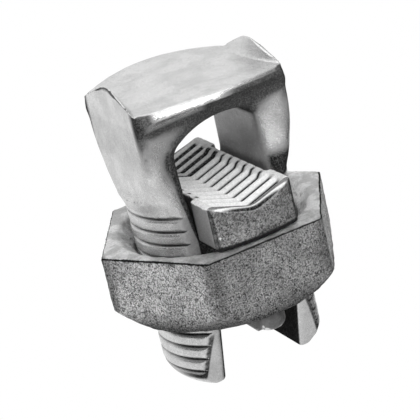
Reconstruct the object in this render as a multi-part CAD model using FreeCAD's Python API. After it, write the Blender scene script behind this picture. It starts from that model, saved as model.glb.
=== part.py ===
import FreeCAD, Part
import math
import os
from FreeCAD import Vector

# Split bolt connector for overhead line wires, in millimetres.
# Frame: origin on the bolt axis at the level of the leg ends, +Z up the bolt
# axis, X from leg to leg, Y along the wires. The nut stands part-way up the
# legs, and the pressure bar rests on it.

# Driving dimensions of the bolt's legs, levels from the leg ends
slot_width = 5.5
thread_diameter = 10.7
thread_clearance = 0.05
thread_end = 12.5
leg_flat_width = 7.5
leg_foot_width = 5.2
leg_taper_height = 4.0
leg_end_inset = 1.0
leg_end_rise = 1.3
leg_end_bend_inset = 0.33
leg_end_bend_level = 0.6
leg_edge_radius = 0.3
leg_foot_rounding = 0.4

# Driving dimensions of the bolt's head, drops from the middle of its top
head_height = 7.4
shoulder_height = 0.9
flat_foot_diameter = 11.4
head_bulge_height = 2.75
head_bulge_diameter = 12.8
head_diameter = 13.3
head_side_drop = 1.8
head_side_height = 0.5
head_across_flats = 10.6
head_middle_width = 11.6
head_end_width = 8.3
wrench_edge_drop = 0.5
wrench_edge_diameter = 12.9
head_top_diameter = 12.3
top_fall = 0.45
web_width = 7.0
web_drop = 1.9
web_plan_radius = 32.0
hollow_bend_share = 0.16
hollow_bend_drop = 1.2
nose_height = 0.6
nose_slant = 0.3
nose_bulge = 0.1

# Driving dimensions of the window between the legs and its rounded rim
window_width = 5.9
window_drop = 2.3
window_crown_radius = 6.0
window_crown_offset = 0.9
window_corner_radius = 0.8
window_rim_width = 0.95
window_rim_depth = 0.4
window_face_width = 7.1
window_rim_rise = 0.5
leg_edge_blend = 2.6

# Driving dimensions of the two raised ears at the ends of the head
ear_rise = 0.88
ear_slope = 20.0
ear_crest_radius = 2.4
ear_foot = 4.55
ear_foot_radius = 10.5
ear_lean = 0.5
ear_bevel_width = 0.15
ear_bevel_height = 0.5

# Driving dimensions of the nut
nut_level = 5.0
nut_height = 5.2
nut_across_flats = 14.3
nut_foot_diameter = 13.6
countersink_diameter = 12.8
foot_countersink = 0.2

# Driving dimensions of the pressure bar
seat_clearance = 0.05
bar_side_clearance = 0.15
bar_length = 13.6
bar_height = 3.1
valley_depth = 1.0
valley_radius = 1.2
bar_width = 6.0
waist_clearance = 0.2
bar_foot_radius = 0.3
bar_corner_radius = 0.5
bar_end_bulge = 0.3
bar_end_rounding = 0.3
ridge_count = 12
ridge_depth = 0.32
ridge_margin = 0.65
prong_width = 2.0
prong_thickness = 1.6
prong_clearance = 0.25
toe_reach = 6.2
toe_thickness = 1.3
toe_rounding = 0.6
toe_clearance = 0.1

# How far the cutting shapes reach into open air
overcut = 1.0
rim_overcut = 0.2

# Values worked out from the driving dimensions
flat_foot = thread_end + shoulder_height
top_middle = thread_end + head_height
top_end = top_middle - top_fall
ear_crest = top_middle + ear_rise
head_top = ear_crest + overcut
head_side = top_middle - head_side_drop
web_level = top_middle - web_drop
window_top = top_middle - window_drop
window_rim_foot = thread_end + window_rim_rise
half_across_flats = head_across_flats / 2
half_slot = slot_width / 2
half_window = window_width / 2
slot_top = window_rim_foot - leg_edge_blend
bore_radius = thread_diameter / 2 + thread_clearance
nut_top = nut_level + nut_height
bar_seat = nut_top + seat_clearance
bar_waist_width = slot_width - 2 * bar_side_clearance


def revolved(points):
    """Turn a closed outline of (radius, height) points about the Z axis."""
    corners = [Vector(radius, 0, height) for radius, height in points]
    outline = Part.makePolygon(corners + corners[:1])
    return Part.Face(outline).revolve(Vector(0, 0, 0), Vector(0, 0, 1), 360)


def arc(start, middle, end):
    """Edge of a round stretch through three points."""
    return Part.Arc(start, middle, end).toShape()


def line(start, end):
    """Edge of a straight stretch."""
    return Part.makeLine(start, end)


def prism(edges, direction):
    """Push a closed flat outline along a direction."""
    return Part.Face(Part.Wire(edges)).extrude(direction)


def turned_blank():
    """Round blank of the bolt: legs as one bar, shoulder and drafted head."""
    radius = thread_diameter / 2
    return revolved([
        (0, 0),
        (radius - leg_end_inset, 0),
        (radius - leg_end_bend_inset, leg_end_bend_level),
        (radius, leg_end_rise),
        (radius, thread_end),
        (flat_foot_diameter / 2, flat_foot),
        (head_bulge_diameter / 2, flat_foot + head_bulge_height),
        (head_diameter / 2, head_side),
        (head_diameter / 2, head_side + head_side_height),
        (wrench_edge_diameter / 2, top_middle - wrench_edge_drop),
        (head_top_diameter / 2, head_top),
        (0, head_top),
    ])


def leg_outline():
    """Front and back of the legs seen along X: flats that taper to the foot."""
    half = leg_flat_width / 2
    foot = leg_foot_width / 2
    shoulder = head_diameter / 2
    x_start = -head_diameter
    corners = [
        Vector(x_start, -foot, 0),
        Vector(x_start, foot, 0),
        Vector(x_start, half, leg_taper_height),
        Vector(x_start, half, thread_end),
        Vector(x_start, shoulder, thread_end),
        Vector(x_start, shoulder, flat_foot),
        Vector(x_start, -shoulder, flat_foot),
        Vector(x_start, -shoulder, thread_end),
        Vector(x_start, -half, thread_end),
        Vector(x_start, -half, leg_taper_height),
    ]
    outline = Part.Face(Part.makePolygon(corners + corners[:1]))
    return outline.extrude(Vector(2 * head_diameter, 0, 0))


def head_block():
    """Block between the two wrench flats that the head is formed from."""
    return Part.makeBox(
        head_across_flats,
        2 * head_diameter,
        head_top - flat_foot,
        Vector(-half_across_flats, -head_diameter, flat_foot),
    )


def arched_top():
    """Everything under the arched top face, which is straight along Y."""
    x_end = half_across_flats + overcut
    rise = top_middle - top_end
    z_end = top_middle - rise * (x_end / half_across_flats) ** 2
    y_start = -head_diameter
    low = Vector(-x_end, y_start, -overcut)
    high = Vector(-x_end, y_start, z_end)
    edges = [
        line(Vector(x_end, y_start, -overcut), low),
        line(low, high),
        arc(high, Vector(0, y_start, top_middle), Vector(x_end, y_start, z_end)),
        line(Vector(x_end, y_start, z_end), Vector(x_end, y_start, -overcut)),
    ]
    return prism(edges, Vector(0, 2 * head_diameter, 0))


def ear():
    """Raised ear over the +X wrench flat: gabled crest, conical inner side."""
    slope = math.radians(ear_slope)
    peak = ear_crest + ear_crest_radius * (1 / math.cos(slope) - 1)
    tangent_y = ear_crest_radius * math.sin(slope)
    tangent_z = peak - tangent_y * math.tan(slope)
    foot_y = head_diameter / 2
    foot_z = peak - foot_y * math.tan(slope)
    x_start = ear_foot - overcut
    low_z = flat_foot
    edges = [
        line(Vector(x_start, -foot_y, low_z), Vector(x_start, -foot_y, foot_z)),
        line(Vector(x_start, -foot_y, foot_z), Vector(x_start, -tangent_y, tangent_z)),
        arc(
            Vector(x_start, -tangent_y, tangent_z),
            Vector(x_start, 0, ear_crest),
            Vector(x_start, tangent_y, tangent_z),
        ),
        line(Vector(x_start, tangent_y, tangent_z), Vector(x_start, foot_y, foot_z)),
        line(Vector(x_start, foot_y, foot_z), Vector(x_start, foot_y, low_z)),
        line(Vector(x_start, foot_y, low_z), Vector(x_start, -foot_y, low_z)),
    ]
    gable = prism(edges, Vector(half_across_flats + overcut - x_start, 0, 0))
    drop = top_end - low_z
    rise = head_top - top_end
    lean_per_rise = ear_lean / (ear_crest - top_end)
    cone = Part.makeCone(
        ear_foot_radius + lean_per_rise * drop,
        ear_foot_radius - lean_per_rise * rise,
        head_top - low_z,
        Vector(ear_foot + ear_foot_radius, 0, low_z),
    )
    bevel_z = ear_crest - ear_bevel_height
    outer = half_across_flats
    top_x = outer - ear_bevel_width * (head_top - bevel_z) / ear_bevel_height
    side = prism(
        [
            line(Vector(0, -head_diameter, low_z), Vector(outer, -head_diameter, low_z)),
            line(Vector(outer, -head_diameter, low_z), Vector(outer, -head_diameter, bevel_z)),
            line(Vector(outer, -head_diameter, bevel_z), Vector(top_x, -head_diameter, head_top)),
            line(Vector(top_x, -head_diameter, head_top), Vector(0, -head_diameter, head_top)),
            line(Vector(0, -head_diameter, head_top), Vector(0, -head_diameter, low_z)),
        ],
        Vector(0, 2 * head_diameter, 0),
    )
    return gable.common(cone).common(side)


def front_section(x):
    """Waste before the head's front at one place across it: nose and hollow."""
    bow = (head_middle_width - head_end_width) / 2
    bow_radius = (half_across_flats ** 2 + bow ** 2) / (2 * bow)
    sag = top_fall * (x / half_across_flats) ** 2
    nose_y = head_middle_width / 2 - bow_radius + math.sqrt(bow_radius ** 2 - x ** 2)
    nose_z = top_middle - sag - nose_height
    web_y = web_width / 2 + x ** 2 / (2 * web_plan_radius)
    bend_y = web_y + hollow_bend_share * (nose_y - web_y)
    open_y = head_diameter / 2 + overcut
    leg_foot = Vector(x, -leg_flat_width / 2, thread_end)
    web_top = Vector(x, -web_y, web_level - sag)
    bend = Vector(x, -bend_y, top_middle - sag - hollow_bend_drop)
    nose_foot = Vector(x, -nose_y, nose_z)
    nose_middle = Vector(x, nose_slant / 2 - nose_bulge - nose_y, nose_z + nose_height / 2)
    nose_top = Vector(x, nose_slant - nose_y, nose_z + nose_height)
    above_nose = Vector(x, nose_slant - nose_y, head_top)
    above = Vector(x, -open_y, head_top)
    below = Vector(x, -open_y, thread_end)
    return Part.Wire([
        line(leg_foot, web_top),
        arc(web_top, bend, nose_foot),
        arc(nose_foot, nose_middle, nose_top),
        line(nose_top, above_nose),
        line(above_nose, above),
        line(above, below),
        line(below, leg_foot),
    ])


def front_waste():
    """Waste before the head: sections from flat to flat, blended."""
    reach = half_across_flats + rim_overcut
    sections = [front_section(reach * share) for share in (-1, 0, 1)]
    return Part.makeLoft(sections, True)


def window_arch():
    """Arched crown between two rounded corners, in the plane of the Z axis."""
    centre = Vector(window_crown_offset, 0, window_top - window_crown_radius)
    bend_distance = window_crown_radius - window_corner_radius
    corners = []
    for sign in (-1, 1):
        bend_x = sign * (half_window - window_corner_radius)
        rise = math.sqrt(bend_distance ** 2 - (bend_x - centre.x) ** 2)
        bend = Vector(bend_x, 0, centre.z + rise)
        side = Vector(sign * half_window, 0, bend.z)
        crown = centre + (bend - centre) * (window_crown_radius / bend_distance)
        outward = (side - bend) + (crown - bend)
        middle = bend + outward * (window_corner_radius / outward.Length)
        corners.append((side, middle, crown))
    left, right = corners
    top = Vector(window_crown_offset, 0, window_top)
    return [arc(*left), arc(left[-1], top, right[-1]), arc(*reversed(right))]


def window():
    """Slot between the legs with its arched top, as a tool to cut with."""
    arch = window_arch()
    left = arch[0].Vertexes[0].Point
    right = arch[-1].Vertexes[-1].Point
    rounding = leg_foot_rounding
    bend = rounding * (1 - math.sqrt(0.5))
    edges = arch + [
        line(right, Vector(half_window, 0, window_rim_foot)),
        line(Vector(half_window, 0, window_rim_foot), Vector(half_slot, 0, slot_top)),
        line(Vector(half_slot, 0, slot_top), Vector(half_slot, 0, rounding)),
        arc(
            Vector(half_slot, 0, rounding),
            Vector(half_slot + bend, 0, bend),
            Vector(half_slot + rounding, 0, 0),
        ),
        line(Vector(half_slot + rounding, 0, 0), Vector(half_slot + rounding, 0, -overcut)),
        line(
            Vector(half_slot + rounding, 0, -overcut),
            Vector(-half_slot - rounding, 0, -overcut),
        ),
        line(Vector(-half_slot - rounding, 0, -overcut), Vector(-half_slot - rounding, 0, 0)),
        arc(
            Vector(-half_slot - rounding, 0, 0),
            Vector(-half_slot - bend, 0, bend),
            Vector(-half_slot, 0, rounding),
        ),
        line(Vector(-half_slot, 0, rounding), Vector(-half_slot, 0, slot_top)),
        line(Vector(-half_slot, 0, slot_top), Vector(-half_window, 0, window_rim_foot)),
        line(Vector(-half_window, 0, window_rim_foot), left),
    ]
    opening = prism(edges, Vector(0, 2 * head_diameter, 0))
    opening.translate(Vector(0, -head_diameter, 0))
    return opening


def rim_section(inner_x, face_y, height, width, depth):
    """Waste outside the rounded edge of the slot, left leg, front, as a wire."""
    radius = (width ** 2 + depth ** 2) / (2 * depth)
    half_turn = math.asin(width / radius) / 2
    open_x = rim_overcut - inner_x
    outer_x = -inner_x - width
    start_y = -face_y + depth
    end_y = -face_y - overcut
    middle = Vector(
        outer_x + radius * math.sin(half_turn),
        -face_y + radius * (1 - math.cos(half_turn)),
        height,
    )
    return Part.Wire([
        arc(Vector(-inner_x, start_y, height), middle, Vector(outer_x, -face_y, height)),
        line(Vector(outer_x, -face_y, height), Vector(outer_x, end_y, height)),
        line(Vector(outer_x, end_y, height), Vector(open_x, end_y, height)),
        line(Vector(open_x, end_y, height), Vector(open_x, start_y, height)),
        line(Vector(open_x, start_y, height), Vector(-inner_x, start_y, height)),
    ])


def leg_rim(top_z):
    """Sections of the waste along the left leg's front edge, up to the arch."""
    face = leg_flat_width / 2
    edge = (leg_edge_radius, leg_edge_radius)
    flare = (window_rim_width, window_rim_depth)
    return [
        rim_section(half_slot, leg_foot_width / 2, 0, *edge),
        rim_section(half_slot, face, leg_taper_height, *edge),
        rim_section(half_slot, face, slot_top, *edge),
        rim_section(half_window, face, window_rim_foot, *flare),
        rim_section(half_window, window_face_width / 2, top_z, *flare),
    ]


def slot_rims():
    """Waste outside the rounded rims of slot and window, front and back."""
    arch = window_arch()
    left = leg_rim(arch[0].Vertexes[0].Z)
    right = leg_rim(arch[-1].Vertexes[-1].Z)
    front = [
        Part.makeLoft(left, True, True),
        Part.makeLoft(right, True, True).mirror(Vector(0, 0, 0), Vector(1, 0, 0)),
        Part.Wire(arch).makePipeShell([left[-1]], True, True),
    ]
    return front + [rim.mirror(Vector(0, 0, 0), Vector(0, 1, 0)) for rim in front]


def split_bolt():
    """One forging: arched head on two threaded legs."""
    blank = turned_blank()
    body = blank.common(leg_outline().fuse(head_block()))
    far_ear = ear()
    near_ear = far_ear.mirror(Vector(0, 0, 0), Vector(1, 0, 0))
    body = body.common(arched_top().fuse([far_ear, near_ear]))
    front = front_waste()
    back = front.mirror(Vector(0, 0, 0), Vector(0, 1, 0))
    body = body.cut([front, back])
    return body.cut([window()] + slot_rims())


def hex_nut():
    """Hexagon nut: countersunk bore, flat crisp top, coned foot."""
    corner_radius = nut_across_flats / math.sqrt(3)
    corners = [
        Vector(
            corner_radius * math.cos(math.radians(60 * step)),
            corner_radius * math.sin(math.radians(60 * step)),
            nut_level,
        )
        for step in range(6)
    ]
    hexagon = Part.Face(Part.makePolygon(corners + corners[:1]))
    prism_body = hexagon.extrude(Vector(0, 0, nut_height))
    foot_radius = nut_foot_diameter / 2
    outside = corner_radius + overcut
    envelope = revolved([
        (0, nut_level),
        (foot_radius, nut_level),
        (outside, nut_level + outside - foot_radius),
        (outside, nut_top),
        (0, nut_top),
    ])
    rim = countersink_diameter / 2
    bore = revolved([
        (0, nut_level - overcut),
        (bore_radius + foot_countersink + overcut, nut_level - overcut),
        (bore_radius, nut_level + foot_countersink),
        (bore_radius, nut_top - (rim - bore_radius)),
        (rim + overcut, nut_top + overcut),
        (0, nut_top + overcut),
    ])
    return prism_body.common(envelope).cut(bore)


def bar_section():
    """Cross-section of the bar across the wires: flat foot and rounded trough."""
    half = bar_width / 2
    slope_angle = math.atan(valley_depth / half)
    slope = math.tan(slope_angle)
    trough_z = bar_seat + bar_height - valley_depth
    tangent_x = valley_radius * math.sin(slope_angle)
    tangent_z = trough_z + tangent_x * slope
    valley_z = trough_z + valley_radius * (1 / math.cos(slope_angle) - 1)
    bend = bar_foot_radius * (1 - math.sqrt(0.5))
    foot = half - bar_foot_radius
    ankle_z = bar_seat + bar_foot_radius
    edges = [
        arc(
            Vector(-tangent_x, 0, tangent_z),
            Vector(0, 0, valley_z),
            Vector(tangent_x, 0, tangent_z),
        ),
        line(Vector(-foot, 0, bar_seat), Vector(foot, 0, bar_seat)),
    ]
    for sign in (-1, 1):
        crest = Vector(sign * half, 0, bar_seat + bar_height)
        ankle = Vector(sign * half, 0, ankle_z)
        heel = Vector(sign * (half - bend), 0, bar_seat + bend)
        edges += [
            line(Vector(sign * tangent_x, 0, tangent_z), crest),
            line(crest, ankle),
            arc(ankle, heel, Vector(sign * foot, 0, bar_seat)),
        ]
    return Part.Wire(Part.__sortEdges__(edges))


def bar_plan():
    """Plan of the bar: straight sides, rounded corners and bowed ends."""
    half_x = bar_width / 2
    half_y = bar_length / 2
    side_y = half_y - bar_end_bulge - bar_corner_radius
    end_x = half_x - bar_corner_radius
    end_y = half_y - bar_end_bulge
    inset = bar_corner_radius * (1 - math.sqrt(0.5))
    edges = []
    for sign in (-1, 1):
        start = Vector(sign * half_x, -sign * side_y, 0)
        side = Vector(sign * half_x, sign * side_y, 0)
        first = Vector(sign * end_x, sign * end_y, 0)
        second = Vector(-sign * end_x, sign * end_y, 0)
        next_side = Vector(-sign * half_x, sign * side_y, 0)
        bend = Vector(sign * (half_x - inset), sign * (end_y - inset), 0)
        next_bend = Vector(-sign * (half_x - inset), sign * (end_y - inset), 0)
        edges += [
            line(start, side),
            arc(side, bend, first),
            arc(first, Vector(0, sign * half_y, 0), second),
            arc(second, next_bend, next_side),
        ]
    plan = prism(edges, Vector(0, 0, bar_height * 2))
    plan.translate(Vector(0, 0, bar_seat))
    return plan


def grip_grooves():
    """Waste between the grip ridges, mitred along the floor of the trough."""
    reach = bar_length / 2 - ridge_margin
    pitch = 2 * reach / ridge_count
    floor_z = bar_seat + bar_height - valley_depth
    clear_z = floor_z + bar_height
    outline = [Vector(0, -reach, clear_z), Vector(0, -reach, floor_z)]
    for step in range(ridge_count):
        start = -reach + step * pitch
        outline.append(Vector(0, start + pitch / 2, floor_z - ridge_depth))
        outline.append(Vector(0, start + pitch, floor_z))
    outline.append(Vector(0, reach, clear_z))
    profile = Part.Face(Part.makePolygon(outline + outline[:1]))
    right = profile.extrude(Vector(bar_width / 2, 0, valley_depth))
    return [right, right.mirror(Vector(0, 0, 0), Vector(1, 0, 0))]


def prong():
    """Prong through the nut at the back, its rounded toe turned out below."""
    outer_y = bore_radius - prong_clearance
    inner_y = outer_y - prong_thickness
    toe_top = nut_level - toe_clearance
    toe_foot = toe_top - toe_thickness
    half = prong_width / 2
    tip_y = toe_reach - half
    shaft = Part.makeBox(
        prong_width,
        prong_thickness,
        bar_seat + bar_height / 2 - toe_foot,
        Vector(-half, inner_y, toe_foot),
    )
    toe_edges = [
        line(Vector(-half, inner_y, toe_foot), Vector(-half, tip_y, toe_foot)),
        arc(
            Vector(-half, tip_y, toe_foot),
            Vector(0, toe_reach, toe_foot),
            Vector(half, tip_y, toe_foot),
        ),
        line(Vector(half, tip_y, toe_foot), Vector(half, inner_y, toe_foot)),
        line(Vector(half, inner_y, toe_foot), Vector(-half, inner_y, toe_foot)),
    ]
    toe = prism(toe_edges, Vector(0, 0, toe_thickness))
    rim = [
        edge
        for edge in toe.Edges
        if edge.BoundBox.ZMax < toe_foot + 0.001 and edge.BoundBox.YMax > inner_y + 0.001
    ]
    return shaft.fuse(toe.makeFillet(toe_rounding, rim))


def bar_block():
    """Bar of full width over its whole length, with rounded ends."""
    section = Part.Face(bar_section())
    block = section.extrude(Vector(0, 2 * bar_length, 0))
    block.translate(Vector(0, -bar_length, 0))
    block = block.common(bar_plan())
    side_y = bar_length / 2 - bar_end_bulge - bar_corner_radius
    end_rims = [
        edge
        for edge in block.Edges
        if edge.BoundBox.ZMin > bar_seat + bar_height / 2 and edge.CenterOfMass.y ** 2 > side_y ** 2
    ]
    return block.makeFillet(bar_end_rounding, end_rims)


def waist():
    """Waste beside the bar at the +X leg, where it is narrower than its ends."""
    depth = (bar_width - bar_waist_width) / 2 + overcut
    length = leg_flat_width + 2 * waist_clearance
    return Part.makeBox(
        depth,
        length,
        2 * bar_height + overcut,
        Vector(bar_waist_width / 2, -length / 2, bar_seat - overcut),
    )


def pressure_bar():
    """Bar that bears on the wires, held to the nut by two turned-out toes."""
    far_waist = waist()
    near_waist = far_waist.mirror(Vector(0, 0, 0), Vector(1, 0, 0))
    bar = bar_block().cut(grip_grooves() + [far_waist, near_waist])
    back_prong = prong()
    front_prong = back_prong.mirror(Vector(0, 0, 0), Vector(0, 1, 0))
    return bar.fuse([back_prong, front_prong])


def export(shape, name):
    """Write one piece under its own name."""
    shape.exportStep(f"parts/{name}.step")


os.makedirs("parts", exist_ok=True)
export(split_bolt(), "split_bolt")
export(hex_nut(), "hex_nut")
export(pressure_bar(), "pressure_bar")
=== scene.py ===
"""Looks of a split bolt connector: forged bolt, hexagon nut and pressure bar, tin plated."""

import math
from collections import namedtuple

import bmesh
import bpy
import numpy as np
from mathutils import Matrix, Vector, noise


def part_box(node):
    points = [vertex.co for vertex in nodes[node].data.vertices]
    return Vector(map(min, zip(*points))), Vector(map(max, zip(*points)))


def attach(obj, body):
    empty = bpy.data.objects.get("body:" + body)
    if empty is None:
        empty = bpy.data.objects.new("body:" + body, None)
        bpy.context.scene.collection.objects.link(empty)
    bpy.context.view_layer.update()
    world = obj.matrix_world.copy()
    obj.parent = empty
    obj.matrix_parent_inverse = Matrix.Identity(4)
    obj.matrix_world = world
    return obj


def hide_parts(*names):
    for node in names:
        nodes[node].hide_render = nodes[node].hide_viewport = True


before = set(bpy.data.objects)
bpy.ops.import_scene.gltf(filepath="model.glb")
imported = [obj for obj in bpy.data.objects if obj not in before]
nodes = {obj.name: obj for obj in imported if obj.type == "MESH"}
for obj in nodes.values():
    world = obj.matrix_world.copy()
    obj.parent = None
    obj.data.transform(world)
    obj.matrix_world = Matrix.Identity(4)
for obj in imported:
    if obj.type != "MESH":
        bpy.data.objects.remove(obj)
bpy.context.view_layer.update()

MM = 0.001

# Bolt as the solid has it, in millimetres
TOP_MIDDLE = 19.9
TOP_FALL = 0.45
HALF_ACROSS_FLATS = 5.3
WEB_HALF_WIDTH = 3.5
WINDOW_TOP = 17.6
SHOULDER = 13.4
LEGS_TOP = 12.5
HALF_SLOT = 2.75

# Nut and bar as the solids have them, in millimetres
NUT_TOP = 10.2
NUT_HALF_ACROSS_FLATS = 7.15
BAR_FOOT = 10.25
BAR_HALF_LENGTH = 6.8
BAR_HALF_WIDTH = 3.0
WAIST_HALF_WIDTH = 2.6
WAIST_REACH = 3.95
RIDGE_COUNT = 12
RIDGES_END = BAR_HALF_LENGTH - 0.65
RIDGE_PITCH = 2 * RIDGES_END / RIDGE_COUNT
TROUGH_ABOVE = BAR_FOOT + 1.25
TOE_TOP = 4.9

# Thread, which only this script has, in millimetres
THREAD_PITCH = 0.9
THREAD_RADIUS = 5.35
THREAD_DEPTH = 0.22
THREAD_BOTTOM = THREAD_RADIUS - THREAD_DEPTH
THREAD_ROOT = 0.06
THREAD_CREST = 0.6
THREAD_START = 0.85
THREAD_END = LEGS_TOP - 0.25
THREAD_STEPS = 96
CUTTER_REACH = 0.3
CUTTER_GAP = 0.02

# Fineness of the meshes, in millimetres
BOLT_SKIN = 0.105
NUT_SKIN = 0.11
BAR_SKIN = 0.08
FACET_REACH = 0.012
WELD_DISTANCE = 0.002
SLIVER_WIDTH = 2.5e-6

# Border of the bar's grooves, in millimetres
BORDER_WIDTH = 0.35
BORDER_FADE = 0.3
BORDER_BAND = 0.1

# How much the nose may settle, as a share of the rest of the head
NOSE_SHARE = 0.3

# Uneven faces of the nut, in millimetres, and how their noise is made up
DENT_DEPTH = 0.05
DENT_SIZE = 0.6
DENT_SEED = 3.1
DENT_FALL_OFF = 0.8
DENT_FINER = 2.1
DENT_LAYERS = 3

# Colours of the plate
PIT_COLOR = (0.04, 0.04, 0.04)
# Worn edges, partly real wear and partly a painted highlight, strongest on the bar's ridges
WORN_AND_HIGHLIGHT_COLOR = (0.95, 0.95, 0.95)
# Painted shade in creases and hollows
CREVICE_SHADE_COLOR = (0.1, 0.1, 0.1)
# Near-black painted shade and dark reflection, which also takes the metal away
PAINTED_SHADE_COLOR = (0.012, 0.012, 0.012)
SIDE_COLOR = (0.46, 0.46, 0.46)
# Painted shade on the toes under the nut
TOE_SHADE_COLOR = (0.2, 0.2, 0.2)
# Painted highlights on the slopes and crests of the bar's ridges
SLOPE_HIGHLIGHT_COLOR = (0.94, 0.94, 0.94)
CREST_HIGHLIGHT_COLOR = (1.0, 1.0, 1.0)
DULL_FACE_COLOR = (0.55, 0.55, 0.55)
BRIGHT_FACE_COLOR = (0.85, 0.85, 0.85)

# How much of the grain is left on plain parts
PLAIN_GRAIN = 0.25

# Light of the surroundings, as shares of white, and the point that the lamps face, in metres
TABLE_LEFT_LIGHT = 0.42
TABLE_MIDDLE_LIGHT = 0.7
TABLE_RIGHT_LIGHT = 0.12
CEILING_LIGHT = 0.9
ROOM_LIGHT = 0.04
LAMP_AIM = Vector((0, 0, 0.015))

# Camera, fitted to the hexagon and the head in the photograph
CAMERA_TARGET = Vector((0, 0, 0.0102))
CAMERA_AZIMUTH = 22.94
CAMERA_ELEVATION = 21.14
CAMERA_ROLL = 13.26
CAMERA_DISTANCE = 0.12135
CAMERA_FOCUS_PIXELS = 1866.4
TARGET_PIXEL = (212.68, 213.40)
PHOTO_SIZE = 420


def object_from(mesh, name):
    """New object that holds a mesh."""
    obj = bpy.data.objects.new(name, mesh)
    bpy.context.scene.collection.objects.link(obj)
    return obj


def solid_copy(node, name):
    """Closed copy of a node's mesh, in millimetres."""
    mesh = nodes[node].data.copy()
    mesh.materials.clear()
    work = bmesh.new()
    work.from_mesh(mesh)
    work.transform(Matrix.Scale(1 / MM, 4))
    bmesh.ops.remove_doubles(work, verts=work.verts, dist=WELD_DISTANCE)
    work.to_mesh(mesh)
    work.free()
    return object_from(mesh, name)


def applied(obj):
    """Put the result of an object's modifiers in its mesh."""
    graph = bpy.context.evaluated_depsgraph_get()
    graph.update()
    mesh = bpy.data.meshes.new_from_object(obj.evaluated_get(graph))
    old = obj.data
    obj.modifiers.clear()
    obj.data = mesh
    bpy.data.meshes.remove(old)
    return obj


def resurfaced(obj, voxel):
    """Give a solid an even fine skin, which also eases its edges."""
    remesh = obj.modifiers.new("skin", "REMESH")
    remesh.mode = "VOXEL"
    remesh.voxel_size = voxel
    remesh.adaptivity = 0.0
    return applied(obj)


def points_of(mesh):
    """Vertex positions as an array."""
    flat = np.empty(len(mesh.vertices) * 3, np.float64)
    mesh.vertices.foreach_get("co", flat)
    return flat.reshape(-1, 3)


def set_points(mesh, points):
    """Write vertex positions back."""
    mesh.vertices.foreach_set("co", points.ravel())
    mesh.update()


def normals_of(mesh):
    """Vertex normals as an array."""
    flat = np.empty(len(mesh.vertices) * 3, np.float64)
    mesh.vertices.foreach_get("normal", flat)
    return flat.reshape(-1, 3)


def eased(obj, rounds, weight=None):
    """Relax the skin; weight says how much, point by point."""
    mesh = obj.data
    points = points_of(mesh)
    edges = np.empty(len(mesh.edges) * 2, np.int32)
    mesh.edges.foreach_get("vertices", edges)
    edges = edges.reshape(-1, 2)
    count = np.bincount(edges.ravel(), minlength=len(points)).astype(float)[:, None]
    share = np.full((len(points), 1), 0.5) if weight is None else 0.5 * weight(points)[:, None]
    for _ in range(rounds):
        total = np.zeros_like(points)
        np.add.at(total, edges[:, 0], points[edges[:, 1]])
        np.add.at(total, edges[:, 1], points[edges[:, 0]])
        points += share * (total / count - points)
    set_points(mesh, points)


def smooth_step(value, start, end):
    """0 before start, 1 after end, smooth between; the other way round if end is the lower."""
    share = np.clip((value - start) / (end - start), 0, 1)
    return share * share * (3 - 2 * share)


def head_front(points):
    """How freely the hollows, the rims and the rolled edges of the head may settle."""
    x, y, z = points.T
    below_top = z + TOP_FALL * (x / HALF_ACROSS_FLATS) ** 2
    out = smooth_step(np.abs(y), WEB_HALF_WIDTH - 0.6, WEB_HALF_WIDTH - 0.2)
    above_legs = smooth_step(z, LEGS_TOP + 0.2, LEGS_TOP + 0.8)
    off_nose = smooth_step(below_top, TOP_MIDDLE - 0.9, TOP_MIDDLE - 1.4)
    off_top = smooth_step(below_top, TOP_MIDDLE, TOP_MIDDLE - 0.2)
    return out * above_legs * (NOSE_SHARE + (1 - NOSE_SHARE) * off_nose) * off_top


def bar_ends(points):
    """1 on the rolled rims at the ends of the bar, 0 elsewhere."""
    along = smooth_step(np.abs(points[:, 1]), RIDGES_END + 0.05, RIDGES_END + 0.25)
    return along * smooth_step(points[:, 2], BAR_FOOT + 0.05, BAR_FOOT + 0.25)


def relaxed_points(obj, rounds):
    """Vertex positions after so many rounds of plain smoothing, which the mesh keeps."""
    relax = obj.modifiers.new("relax", "SMOOTH")
    relax.factor = 0.5
    relax.iterations = rounds
    return points_of(applied(obj).data)


def ironed(obj, rounds, reach):
    """Take facets out of the skin without shrinking it or moving a point beyond reach."""
    start = points_of(obj.data)
    once = relaxed_points(obj, rounds)
    twice = relaxed_points(obj, rounds)
    shift = 2 * once - twice - start
    length = np.linalg.norm(shift, axis=1, keepdims=True)
    set_points(obj.data, start + shift * (reach / np.maximum(length, reach)))


def roughened(obj, depth, size, seed):
    """Sink the skin unevenly by up to depth, like a cast or hammered face."""
    mesh = obj.data
    points = points_of(mesh)
    normals = normals_of(mesh)
    shift = Vector((seed, 2.3 * seed, 0.7 * seed))
    sink = np.array([
        noise.fractal(Vector(point) / size + shift, DENT_FALL_OFF, DENT_FINER, DENT_LAYERS)
        for point in points
    ])
    low, high = np.percentile(sink, (2, 98))
    sink = np.clip((sink - low) / (high - low), 0, 1)
    points -= normals * (depth * sink)[:, None]
    set_points(mesh, points)


def bordered(obj):
    """Fill the grooves of the bar up to its ridges along both long sides."""
    mesh = obj.data
    points = points_of(mesh)
    x, y, z = np.abs(points.T)
    top = (normals_of(mesh)[:, 2] > 0.2) & (z > TROUGH_ABOVE)
    half_width = np.where(y < WAIST_REACH, WAIST_HALF_WIDTH, BAR_HALF_WIDTH)
    band = (x / BORDER_BAND).astype(int)
    ridge = np.zeros(band.max() + 1)
    np.maximum.at(ridge, band[top], z[top])
    share = smooth_step(half_width - x, BORDER_WIDTH + BORDER_FADE, BORDER_WIDTH)
    points[top, 2] += (share * (ridge[band] - z))[top]
    set_points(mesh, points)


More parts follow.
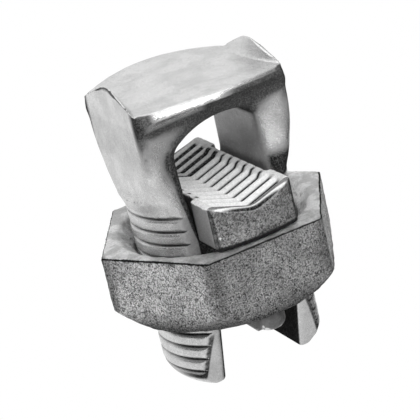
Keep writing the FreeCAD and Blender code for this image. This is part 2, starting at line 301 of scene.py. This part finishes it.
def thread_section():
    """Half widths of the thread's groove from its root outwards, with rounded crests."""
    mouth = (THREAD_PITCH - THREAD_CREST) / 2
    widening = THREAD_PITCH / 2 - mouth
    return [
        (THREAD_BOTTOM, THREAD_ROOT / 2),
        (THREAD_RADIUS - 0.45 * THREAD_DEPTH, THREAD_ROOT),
        (THREAD_RADIUS - 0.12 * THREAD_DEPTH, mouth),
        (THREAD_RADIUS + 0.02, mouth + 0.5 * widening),
        (THREAD_RADIUS + CUTTER_REACH, (THREAD_PITCH - CUTTER_GAP) / 2),
    ]


def thread_cutter():
    """Helical ridge that cuts the groove of a right-hand thread."""
    turns = (THREAD_END - THREAD_START) / THREAD_PITCH
    rings = int(turns * THREAD_STEPS) + 1
    side = thread_section()
    section = [(radius, -half) for radius, half in side]
    section += [(radius, half) for radius, half in reversed(side)]
    work = bmesh.new()
    loops = []
    for ring in range(rings):
        angle = 2 * math.pi * ring / THREAD_STEPS
        height = THREAD_START + THREAD_PITCH * ring / THREAD_STEPS
        loops.append([
            work.verts.new((radius * math.cos(angle), radius * math.sin(angle), height + lift))
            for radius, lift in section
        ])
    for first, second in zip(loops, loops[1:]):
        for corner in range(len(section)):
            follow = (corner + 1) % len(section)
            work.faces.new((first[corner], first[follow], second[follow], second[corner]))
    work.faces.new(loops[0][::-1])
    work.faces.new(loops[-1])
    bmesh.ops.recalc_face_normals(work, faces=work.faces)
    mesh = bpy.data.meshes.new("thread_cutter")
    work.to_mesh(mesh)
    work.free()
    return object_from(mesh, "thread_cutter")


def cut_by(obj, cutter):
    """Take a cutter's volume out of a solid."""
    cut = obj.modifiers.new("cut", "BOOLEAN")
    cut.operation = "DIFFERENCE"
    cut.solver = "EXACT"
    cut.object = cutter
    applied(obj)
    bpy.data.objects.remove(cutter)
    cleaned(obj)


def cleaned(obj):
    """Split the many-sided faces that a cut leaves, and take out slivers of no width."""
    work = bmesh.new()
    work.from_mesh(obj.data)
    many_sided = [face for face in work.faces if len(face.verts) > 4]
    bmesh.ops.triangulate(work, faces=many_sided)
    bmesh.ops.dissolve_degenerate(work, edges=work.edges, dist=SLIVER_WIDTH)
    work.to_mesh(obj.data)
    work.free()


def finished(obj, node, body, material, sharp_degrees):
    """Bring a piece back to metres inside the node's box, and hand it over."""
    mesh = obj.data
    low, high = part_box(node)
    points = points_of(mesh) * MM
    set_points(mesh, np.clip(points, np.array(low), np.array(high)))
    mesh.polygons.foreach_set("use_smooth", [True] * len(mesh.polygons))
    mesh.set_sharp_from_angle(angle=math.radians(sharp_degrees))
    mesh.materials.clear()
    mesh.materials.append(material)
    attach(obj, body)
    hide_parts(node)


def surface(name):
    """New material without nodes, and its tree."""
    material = bpy.data.materials.new(name)
    material.use_nodes = True
    material.node_tree.nodes.clear()
    return material, material.node_tree


def calculated(tree, operation, first, second):
    """Output of a math node fed by numbers or other outputs."""
    step = tree.nodes.new("ShaderNodeMath")
    step.operation = operation
    for socket, value in zip(step.inputs, (first, second)):
        if isinstance(value, (int, float)):
            socket.default_value = value
        else:
            tree.links.new(value, socket)
    return step.outputs["Value"]


def eased_range(tree, value, start, end, before=0.0, after=1.0):
    """Smooth step from before, where the value is at start, to after, where it is at end."""
    step = tree.nodes.new("ShaderNodeMapRange")
    step.interpolation_type = "SMOOTHSTEP"
    step.inputs["From Min"].default_value = start
    step.inputs["From Max"].default_value = end
    step.inputs["To Min"].default_value = before
    step.inputs["To Max"].default_value = after
    tree.links.new(value, step.inputs["Value"])
    return step.outputs["Result"]


def mottle(tree, size, detail, roughness):
    """Noise with spots of a size in millimetres."""
    place = tree.nodes.new("ShaderNodeTexCoord")
    spots = tree.nodes.new("ShaderNodeTexNoise")
    spots.inputs["Scale"].default_value = 1 / (size * MM)
    spots.inputs["Detail"].default_value = detail
    spots.inputs["Roughness"].default_value = roughness
    tree.links.new(place.outputs["Object"], spots.inputs["Vector"])
    return spots.outputs["Fac"]


def blended(tree, share, first, second):
    """Colour between two colours."""
    mixed = tree.nodes.new("ShaderNodeMix")
    mixed.data_type = "RGBA"
    for socket, value in zip((mixed.inputs[0], mixed.inputs[6], mixed.inputs[7]), (share, first, second)):
        if isinstance(value, tuple):
            socket.default_value = (*value, 1)
        elif isinstance(value, float):
            socket.default_value = value
        else:
            tree.links.new(value, socket)
    return mixed.outputs[2]


# Where a point of a piece is, in millimetres, and the way that its surface faces there
Site = namedtuple("Site", "x y z facing_x facing_y facing_z")

# Grain of a plate: size of its specks, how dark they are, and their height, both sizes in millimetres
Grain = namedtuple("Grain", "size share height")

# Plain part of a plate: what marks it, its colour or what makes that, and how metallic it looks
Plain = namedtuple("Plain", "marks tone metal")


def site(tree):
    """Place on the piece in millimetres, and the way that its surface faces there."""
    place = tree.nodes.new("ShaderNodeTexCoord")
    scaled = tree.nodes.new("ShaderNodeVectorMath")
    scaled.operation = "SCALE"
    scaled.inputs["Scale"].default_value = 1 / MM
    tree.links.new(place.outputs["Object"], scaled.inputs["Vector"])
    spot = tree.nodes.new("ShaderNodeSeparateXYZ")
    tree.links.new(scaled.outputs["Vector"], spot.inputs["Vector"])
    shape = tree.nodes.new("ShaderNodeNewGeometry")
    normal = tree.nodes.new("ShaderNodeSeparateXYZ")
    tree.links.new(shape.outputs["Normal"], normal.inputs["Vector"])
    return Site(*spot.outputs, *normal.outputs)


def product(tree, *shares):
    """Several values multiplied."""
    total = shares[0]
    for share in shares[1:]:
        total = calculated(tree, "MULTIPLY", total, share)
    return total


def largest(tree, *shares):
    """The largest of several values."""
    total = shares[0]
    for share in shares[1:]:
        total = calculated(tree, "MAXIMUM", total, share)
    return total


def unsigned(tree, value):
    """A value without its sign."""
    return calculated(tree, "ABSOLUTE", value, 0.0)


def from_axis(tree, at):
    """Distance from the axis of the thread."""
    squares = [calculated(tree, "POWER", unsigned(tree, side), 2.0) for side in (at.x, at.y)]
    return calculated(tree, "SQRT", calculated(tree, "ADD", *squares), 0.0)


def edge_share(tree, low, high):
    """0 in hollows, 1 on worn edges, which also get a painted highlight."""
    shape = tree.nodes.new("ShaderNodeNewGeometry")
    return eased_range(tree, shape.outputs["Pointiness"], low, high)


def hollow_shade(tree, at):
    """Painted shade in the hollows of the head, which starts lower under the bright nose at the left."""
    facing_down = eased_range(tree, at.facing_z, 0.1, -0.3, after=0.87)
    on_head = eased_range(tree, at.z, WINDOW_TOP - 2.6, WINDOW_TOP - 1.1)
    below_nose = eased_range(tree, at.z, TOP_MIDDLE - 1.1, TOP_MIDDLE - 1.6)
    right_part = eased_range(tree, at.x, -1.6, -0.2)
    return product(tree, facing_down, on_head, largest(tree, below_nose, right_part))


def nose_dark_reflection(tree, at):
    """Painted dark reflection on the front nose of the head, from its middle to the right."""
    right_part = eased_range(tree, at.x, -1.2, 1.2, after=0.88)
    off_top = eased_range(tree, at.facing_z, 0.75, 0.4)
    on_nose = eased_range(tree, at.z, WINDOW_TOP, WINDOW_TOP + 0.8)
    in_front = eased_range(tree, at.facing_y, -0.3, -0.6)
    return product(tree, right_part, off_top, on_nose, in_front)


def window_shade(tree, at):
    """Painted shade on the walls of slot and window, and on the left rim of the window."""
    inward = eased_range(tree, product(tree, at.facing_x, at.x), -1.4, -2.4)
    deeper = eased_range(tree, at.z, SHOULDER + 0.1, SHOULDER - 3.9, before=0.45)
    below_crown = eased_range(tree, at.z, WINDOW_TOP + 0.4, WINDOW_TOP - 0.1)
    rim = eased_range(tree, at.facing_x, 0.05, 0.4, after=0.93)
    left_leg = eased_range(tree, at.x, 0.75 - HALF_SLOT, 0.25 - HALF_SLOT)
    below_arch = eased_range(tree, at.z, WINDOW_TOP + 0.4, WINDOW_TOP - 1.1)
    wall = product(tree, inward, deeper, below_crown)
    return largest(tree, wall, product(tree, rim, left_leg, below_arch))


def corner_shade(tree, at):
    """Painted shade at the four upper corners of the head, outside its top face."""
    outer = eased_range(
        tree, unsigned(tree, at.x), HALF_ACROSS_FLATS - 1.4, HALF_ACROSS_FLATS - 0.2, after=0.92)
    front_or_back = eased_range(tree, unsigned(tree, at.y), WEB_HALF_WIDTH - 0.5, WEB_HALF_WIDTH + 0.2)
    upper = eased_range(tree, at.z, TOP_MIDDLE - 4.9, TOP_MIDDLE - 1.4)
    off_top = eased_range(tree, at.facing_z, 0.85, 0.6)
    return product(tree, outer, front_or_back, upper, off_top)


def shoulder_shade(tree, at):
    """Painted shade as a dark patch at the front of the right shoulder, just above the thread."""
    right_leg = eased_range(tree, at.x, HALF_SLOT - 0.05, HALF_SLOT + 0.55, after=0.96)
    foot = eased_range(tree, at.z, SHOULDER + 1.5, SHOULDER + 0.2)
    above_thread = eased_range(tree, at.z, THREAD_END - 0.05, THREAD_END + 0.25)
    front = eased_range(tree, at.y, 0.0, -1.0)
    return product(tree, right_leg, foot, above_thread, front)


def thread_shade(tree, at):
    """Painted shade in the grooves of the thread, thicker where they run out beside the slot."""
    radius = from_axis(tree, at)
    below_crest = eased_range(tree, radius, THREAD_RADIUS, THREAD_RADIUS - 0.12)
    outside_flats = eased_range(tree, radius, THREAD_BOTTOM - 0.15, THREAD_BOTTOM - 0.05)
    sloping = eased_range(tree, unsigned(tree, at.facing_z), 0.1, 0.3)
    towards_slot = eased_range(tree, unsigned(tree, at.y), 0.5, 2.5, before=0.3, after=0.95)
    below_shoulder = eased_range(tree, at.z, THREAD_END + 0.05, THREAD_END - 0.15)
    above_tip = eased_range(tree, at.z, THREAD_START - 0.35, THREAD_START + 0.05)
    groove = product(tree, below_crest, sloping, outside_flats)
    return product(tree, groove, towards_slot, below_shoulder, above_tip)


def flat_shade(tree, at):
    """Painted shade on the flats beside the slot, from inside the nut up to the shoulders."""
    towards_slot = eased_range(
        tree, unsigned(tree, at.x), HALF_SLOT + 1.85, HALF_SLOT + 0.65, after=0.65)
    front_or_back = eased_range(tree, unsigned(tree, at.y), WEB_HALF_WIDTH - 1.1, WEB_HALF_WIDTH - 0.1)
    below_shoulder = eased_range(tree, at.z, THREAD_END + 0.15, THREAD_END - 0.15)
    out_of_nut = eased_range(tree, at.z, NUT_TOP - 3.2, NUT_TOP - 2.2)
    return product(tree, towards_slot, front_or_back, below_shoulder, out_of_nut)


def outline_shade(tree, at):
    """Painted shade as a dark line along the outer edges of the ears and the far edge of the top face."""
    outward = product(tree, at.facing_x, at.x)
    off_top = eased_range(tree, outward, 0.9, 1.6)
    off_side = eased_range(tree, outward, HALF_ACROSS_FLATS - 0.3, HALF_ACROSS_FLATS - 0.7)
    outer = eased_range(tree, unsigned(tree, at.x), HALF_ACROSS_FLATS - 1.3, HALF_ACROSS_FLATS - 0.7)
    rolled = eased_range(tree, at.facing_z, 0.9, 0.7)
    away = eased_range(tree, at.facing_y, 0.3, 0.5)
    upper = eased_range(tree, at.z, TOP_MIDDLE - 3.4, TOP_MIDDLE - 2.4, after=0.85)
    lines = largest(tree, product(tree, off_top, off_side, outer), product(tree, rolled, away))
    return product(tree, lines, upper)


def bolt_painted_shade(tree, at):
    """All the painted shade and dark reflection on the bolt."""
    shade_masks = (hollow_shade, nose_dark_reflection, window_shade, corner_shade,
             shoulder_shade, thread_shade, flat_shade, outline_shade)
    return largest(tree, *(painted_dark(tree, at) for painted_dark in shade_masks))


def bar_trough(tree, at):
    """1 on the ridges of the trough, where the plate has no grain, 0 elsewhere."""
    return eased_range(tree, at.facing_z, 0.2, 0.5)


def bar_side(tree, at):
    """1 on the smooth long sides of the bar, 0 elsewhere."""
    return eased_range(tree, unsigned(tree, at.facing_x), 0.5, 0.8)


def bar_toe(tree, at):
    """1 on the polished toes under the nut, whose dark colour is painted shade, 0 elsewhere."""
    return eased_range(tree, at.z, TOE_TOP + 0.5, TOE_TOP - 0.1)


def from_ridge(tree, at):
    """Distance from the nearest ridge of the trough, along the bar."""
    along = calculated(tree, "ADD", at.y, RIDGES_END)
    return calculated(tree, "PINGPONG", along, RIDGE_PITCH / 2)


def ridge_highlights(tree, at):
    """Painted highlights: white crests and slightly darker slopes of the ridges."""
    crest_highlight = eased_range(tree, from_ridge(tree, at), 0.24, 0.1)
    return blended(tree, crest_highlight, SLOPE_HIGHLIGHT_COLOR, CREST_HIGHLIGHT_COLOR)


def prong_shade(tree, at):
    """Painted shade on the prongs, down to the toes."""
    prong = eased_range(tree, at.z, BAR_FOOT - 0.25, BAR_FOOT - 1.25, after=0.65)
    above_toe = eased_range(tree, at.z, TOE_TOP - 0.7, TOE_TOP + 0.5)
    return product(tree, prong, above_toe)


def far_part(tree, at, most):
    """0 on the near part of the bar, most on its far part."""
    return eased_range(tree, at.y, 1.6, 2.6, after=most)


def groove_shade(tree, at):
    """Painted shade in the grooves of the trough, wider in its far part, and in front of the rolled rims.
    """
    off_crest = calculated(tree, "ADD", from_ridge(tree, at), far_part(tree, at, 0.15))
    groove = eased_range(tree, off_crest, 0.28, 0.45, after=0.95)
    within_border = eased_range(tree, unsigned(tree, at.x), WAIST_HALF_WIDTH, WAIST_HALF_WIDTH - 0.3)
    along = unsigned(tree, at.y)
    past_ridges = eased_range(tree, along, RIDGES_END - 0.02, RIDGES_END + 0.05, after=0.75)
    before_rim = eased_range(tree, along, RIDGES_END + 0.27, RIDGES_END + 0.19)
    lines = largest(tree, product(tree, groove, within_border), product(tree, past_ridges, before_rim))
    return product(tree, lines, bar_trough(tree, at))


def far_shadow(tree, at):
    """Faint painted shadow of the head over the far part of the bar."""
    return far_part(tree, at, 0.4)


def block_shade(tree, at):
    """Painted shade as dark lines round the foot of the bar and down the corners of its end faces."""
    foot = eased_range(tree, at.z, BAR_FOOT + 0.4, BAR_FOOT + 0.2)
    sideways = unsigned(tree, at.facing_x)
    off_end = eased_range(tree, sideways, 0.35, 0.6, after=0.85)
    off_side = eased_range(tree, sideways, 0.97, 0.88)
    at_ends = eased_range(tree, unsigned(tree, at.y), RIDGES_END - 0.25, RIDGES_END - 0.05)
    off_trough = eased_range(tree, bar_trough(tree, at), 1.0, 0.0)
    corner = product(tree, off_end, off_side, at_ends, off_trough)
    above_prong = eased_range(tree, at.z, BAR_FOOT - 0.15, BAR_FOOT - 0.05)
    return product(tree, largest(tree, foot, corner), above_prong)


def bar_painted_shade(tree, at):
    """All the painted shade and shadow on the bar."""
    shade_masks = (prong_shade, groove_shade, far_shadow, block_shade)
    return largest(tree, *(painted_dark(tree, at) for painted_dark in shade_masks))


def nut_face(tree, at):
    """1 on the top face of the nut, which the plate covers best, 0 elsewhere."""
    return eased_range(tree, at.facing_z, 0.5, 0.8)


def face_tone(tree, at):
    """Cloudy pale grey of the top face of the nut."""
    clouds = eased_range(tree, mottle(tree, size=1.1, detail=3.0, roughness=0.6), 0.4, 0.6)
    return blended(tree, clouds, DULL_FACE_COLOR, BRIGHT_FACE_COLOR)


def nut_painted_shade(tree, at):
    """Painted shade: a dark line where the top face of the nut ends, and darkening round its foot and at
    its corners.
    """
    radius = from_axis(tree, at)
    off_side = eased_range(tree, at.facing_z, 0.05, 0.3)
    off_face = eased_range(tree, at.facing_z, 0.98, 0.85)
    outer = eased_range(tree, radius, NUT_HALF_ACROSS_FLATS - 0.45, NUT_HALF_ACROSS_FLATS - 0.25)
    upper = eased_range(tree, at.z, NUT_TOP - 0.5, NUT_TOP - 0.3)
    foot = eased_range(tree, at.z, NUT_TOP - 3.3, NUT_TOP - 5.0, after=0.75)
    corner = eased_range(
        tree, radius, NUT_HALF_ACROSS_FLATS + 0.6, NUT_HALF_ACROSS_FLATS + 1.05, after=0.55)
    return largest(tree, product(tree, off_side, off_face, outer, upper), foot, corner)


def toned(tree, at, color, pits, plain):
    """Colour, pits and metal share of the plate, with its plain places put in."""
    metal = 1.0
    for place in plain:
        smooth = place.marks(tree, at)
        tone = place.tone(tree, at) if callable(place.tone) else place.tone
        color = blended(tree, smooth, color, tone)
        pits = product(tree, pits, eased_range(tree, smooth, 0.0, 1.0, before=1.0, after=PLAIN_GRAIN))
        metal = product(tree, metal, eased_range(tree, smooth, 0.0, 1.0, before=1.0, after=place.metal))
    return color, pits, metal


def plated_metal(name, bright, dull, roughness, grain, wear_and_highlight, painted_shade, plain=()):
    """Tin plate: cloudy and pitted, worn bright on edges, partly as a painted highlight, with painted
    shade in creases and near-black painted shade and dark reflection in places.
    """
    material, tree = surface(name)
    link = tree.links.new
    at = site(tree)
    output = tree.nodes.new("ShaderNodeOutputMaterial")
    shader = tree.nodes.new("ShaderNodeBsdfPrincipled")
    shader.inputs["Specular IOR Level"].default_value = 0.0
    link(shader.outputs["BSDF"], output.inputs["Surface"])

    clouds = eased_range(tree, mottle(tree, size=1.7, detail=4.0, roughness=0.55), 0.36, 0.64)
    color = blended(tree, clouds, (dull,) * 3, (bright,) * 3)
    specks = eased_range(tree, mottle(tree, size=grain.size, detail=5.0, roughness=0.8), 0.43, 0.6)
    blotches = mottle(tree, size=2.5 * grain.size, detail=2.0, roughness=0.6)
    patches = eased_range(tree, blotches, 0.35, 0.65, before=0.75, after=1.2)
    pits = product(tree, calculated(tree, "SUBTRACT", 1.0, specks), patches, grain.share)
    color, pits, metal = toned(tree, at, color, pits, plain)
    color = blended(tree, pits, color, PIT_COLOR)
    # Edges brightened as wear, which also paints highlights
    worn_and_highlit = product(tree, edge_share(tree, 0.52, 0.6), wear_and_highlight)
    color = blended(tree, worn_and_highlit, color, WORN_AND_HIGHLIGHT_COLOR)
    # Painted shade in creases
    crevice_shade = eased_range(tree, edge_share(tree, 0.4, 0.49), 1.0, 0.0, after=0.75)
    color = blended(tree, crevice_shade, color, CREVICE_SHADE_COLOR)
    # Near-black painted shade and dark reflection where the piece's masks say, broken up by the specks
    painted_dark = product(tree, painted_shade(tree, at), eased_range(tree, specks, 0.0, 1.0, before=1.08, after=0.96))
    painted_dark = calculated(tree, "MINIMUM", painted_dark, 1.0)
    unshaded = eased_range(tree, painted_dark, 0.0, 1.0, before=1.0, after=0.0)
    link(blended(tree, painted_dark, color, PAINTED_SHADE_COLOR), shader.inputs["Base Color"])
    link(product(tree, unshaded, metal), shader.inputs["Metallic"])
    matt = eased_range(tree, pits, 0.0, 1.0, before=roughness, after=roughness + 0.25)
    link(matt, shader.inputs["Roughness"])

    bump = tree.nodes.new("ShaderNodeBump")
    bump.inputs["Strength"].default_value = 1.0
    bump.inputs["Distance"].default_value = grain.height * MM
    link(specks, bump.inputs["Height"])
    link(bump.outputs["Normal"], shader.inputs["Normal"])
    return material


def bolt_metal():
    """Plate of the bolt: bright and smooth, with little grain."""
    return plated_metal(
        "bolt_metal", bright=0.75, dull=0.62, roughness=0.25,
        grain=Grain(size=0.1, share=0.17, height=0.004), wear_and_highlight=0.2, painted_shade=bolt_painted_shade,
    )


def nut_metal():
    """Plate of the nut: coarse grain on its sides, and little on its top face."""
    return plated_metal(
        "nut_metal", bright=0.8, dull=0.56, roughness=0.4,
        grain=Grain(size=0.115, share=0.84, height=0.028), wear_and_highlight=0.1, painted_shade=nut_painted_shade,
        plain=(Plain(nut_face, face_tone, metal=1.0),),
    )


def bar_metal():
    """Plate of the bar: dark with worn edges that also paint highlights, plain on its sides, its toes and
    its trough, whose ridges get painted highlights and whose toes get painted shade.
    """
    return plated_metal(
        "bar_metal", bright=0.6, dull=0.28, roughness=0.36,
        grain=Grain(size=0.13, share=0.8, height=0.014), wear_and_highlight=0.9, painted_shade=bar_painted_shade,
        plain=(
            Plain(bar_side, SIDE_COLOR, metal=1.0),
            Plain(bar_toe, TOE_SHADE_COLOR, metal=1.0),
            # Painted highlights on the ridges of the trough, as a near-white colour with little metal
            Plain(bar_trough, ridge_highlights, metal=0.15),
        ),
    )


def dressed_bolt():
    """Bolt with eased hollows and rims and with its thread."""
    bolt = resurfaced(solid_copy("split_bolt", "bolt_forging"), BOLT_SKIN)
    eased(bolt, rounds=2)
    eased(bolt, rounds=24, weight=head_front)
    ironed(bolt, rounds=120, reach=FACET_REACH)
    cut_by(bolt, thread_cutter())
    finished(bolt, "split_bolt", "bolt", bolt_metal(), sharp_degrees=38)


def dressed_nut():
    """Nut with slightly uneven faces."""
    nut = resurfaced(solid_copy("hex_nut", "nut_casting"), NUT_SKIN)
    eased(nut, rounds=1)
    ironed(nut, rounds=60, reach=FACET_REACH)
    roughened(nut, DENT_DEPTH, DENT_SIZE, DENT_SEED)
    finished(nut, "hex_nut", "nut", nut_metal(), sharp_degrees=60)


def dressed_bar():
    """Bar with a border along its grooves and rolled rims at its ends."""
    bar = resurfaced(solid_copy("pressure_bar", "bar_casting"), BAR_SKIN)
    bordered(bar)
    eased(bar, rounds=1)
    eased(bar, rounds=40, weight=bar_ends)
    finished(bar, "pressure_bar", "bar", bar_metal(), sharp_degrees=60)


def surroundings():
    """White behind, for the metal too; a pale table below, and a dim room with an opening in front."""
    world = bpy.data.worlds.new("studio")
    bpy.context.scene.world = world
    world.use_nodes = True
    tree = world.node_tree
    tree.nodes.clear()
    link = tree.links.new
    output = tree.nodes.new("ShaderNodeOutputWorld")
    seen = tree.nodes.new("ShaderNodeLightPath")
    place = tree.nodes.new("ShaderNodeTexCoord")
    way = tree.nodes.new("ShaderNodeSeparateXYZ")
    link(place.outputs["Generated"], way.inputs["Vector"])

    behind = eased_range(tree, way.outputs["Y"], 0.3, 0.8)
    indirect = calculated(tree, "ADD", seen.outputs["Is Glossy Ray"], seen.outputs["Is Transmission Ray"])
    backdrop = calculated(tree, "ADD", seen.outputs["Is Camera Ray"], product(tree, indirect, behind))
    backdrop = calculated(tree, "MINIMUM", backdrop, 1.0)

    left = eased_range(tree, way.outputs["X"], -0.3, -0.9, after=TABLE_LEFT_LIGHT)
    middle = eased_range(
        tree, way.outputs["X"], 0.85, 0.45, before=TABLE_RIGHT_LIGHT, after=TABLE_MIDDLE_LIGHT)
    downward = eased_range(tree, way.outputs["Z"], 0.0, -0.35)
    table = product(tree, calculated(tree, "ADD", left, middle), downward)
    ceiling = eased_range(tree, way.outputs["Z"], 0.3, 0.95, after=CEILING_LIGHT)
    forward = eased_range(tree, way.outputs["Y"], -0.5, -0.75)
    above_table = eased_range(tree, way.outputs["Z"], -0.35, -0.15)
    aside = unsigned(tree, calculated(tree, "ADD", way.outputs["X"], 0.1))
    opening = product(tree, forward, above_table, eased_range(tree, aside, 0.36, 0.2))
    room = calculated(tree, "ADD", calculated(tree, "ADD", table, ceiling), opening)
    room = calculated(tree, "ADD", room, ROOM_LIGHT)

    studio = tree.nodes.new("ShaderNodeBackground")
    link(room, studio.inputs["Color"])
    white = tree.nodes.new("ShaderNodeBackground")
    white.inputs["Color"].default_value = (1, 1, 1, 1)
    blend = tree.nodes.new("ShaderNodeMixShader")
    link(backdrop, blend.inputs["Fac"])
    link(studio.outputs["Background"], blend.inputs[1])
    link(white.outputs["Background"], blend.inputs[2])
    link(blend.outputs["Shader"], output.inputs["Surface"])


def softbox(name, place, width, height, power):
    """Rectangular studio lamp pointed at the object."""
    lamp = bpy.data.lights.new(name, "AREA")
    lamp.shape = "RECTANGLE"
    lamp.size = width
    lamp.size_y = height
    lamp.energy = power
    holder = bpy.data.objects.new(name, lamp)
    bpy.context.scene.collection.objects.link(holder)
    holder.location = place
    holder.rotation_euler = (LAMP_AIM - Vector(place)).to_track_quat("-Z", "Y").to_euler()


def camera():
    """Camera at the photograph's angle, fitted to the hexagon and the head."""
    azimuth = math.radians(CAMERA_AZIMUTH)
    elevation = math.radians(CAMERA_ELEVATION)
    roll = math.radians(CAMERA_ROLL)
    back = Vector((
        -math.sin(azimuth) * math.cos(elevation),
        -math.cos(azimuth) * math.cos(elevation),
        math.sin(elevation),
    ))
    level = Vector((math.cos(azimuth), -math.sin(azimuth), 0))
    upright = back.cross(level)
    right = math.cos(roll) * level - math.sin(roll) * upright
    up = math.sin(roll) * level + math.cos(roll) * upright
    data = bpy.data.cameras.new("camera")
    data.sensor_width = 36
    data.sensor_fit = "HORIZONTAL"
    data.lens = CAMERA_FOCUS_PIXELS * data.sensor_width / PHOTO_SIZE
    data.shift_x = (PHOTO_SIZE / 2 - TARGET_PIXEL[0]) / PHOTO_SIZE
    data.shift_y = (TARGET_PIXEL[1] - PHOTO_SIZE / 2) / PHOTO_SIZE
    data.clip_start = 0.005
    data.clip_end = 20
    holder = bpy.data.objects.new("camera", data)
    bpy.context.scene.collection.objects.link(holder)
    turn = Matrix((right, up, back)).transposed()
    holder.matrix_world = Matrix.Translation(CAMERA_TARGET + CAMERA_DISTANCE * back) @ turn.to_4x4()
    bpy.context.scene.camera = holder


bpy.context.scene.view_settings.view_transform = "Standard"
dressed_bolt()
dressed_nut()
dressed_bar()
surroundings()
softbox("front", place=(-0.03, -0.235, 0.2), width=0.15, height=0.3, power=0.95)
softbox("top", place=(-0.04, 0.08, 0.24), width=0.2, height=0.14, power=0.12)
camera()
